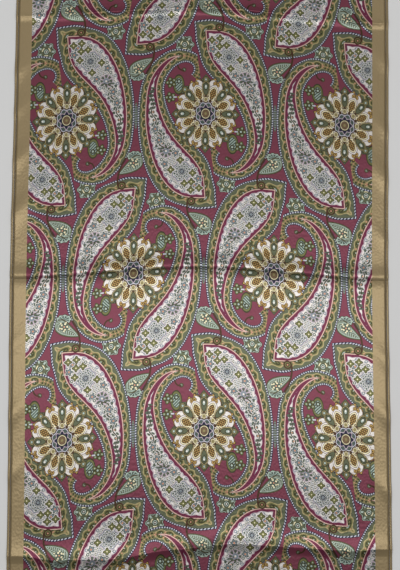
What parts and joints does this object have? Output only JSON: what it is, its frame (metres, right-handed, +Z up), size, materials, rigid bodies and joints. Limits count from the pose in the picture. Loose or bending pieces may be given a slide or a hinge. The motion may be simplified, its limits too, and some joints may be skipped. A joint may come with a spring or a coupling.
{
  "type": "shawl",
  "caption": "Long printed satin shawl with plain borders and rolled hems, laid flat with its fold creases standing.",
  "frame": {"origin": "under the middle of the shawl, on the surface it lies on", "axes": "+Y along the length towards the far end, +X across the width, +Z up from the surface"},
  "size_m": [0.643, 1.8242, 0.0142],
  "materials": {
    "printed_satin": "printed paisley on satin weave, soft sheen",
    "plain_satin": "plain gold brown satin, soft sheen"
  },
  "bodies": {
    "root": {"cloth": "printed_satin", "hem_left": "plain_satin", "hem_right": "plain_satin", "hem_far": "plain_satin", "hem_near": "plain_satin"}
  },
  "joints": []
}
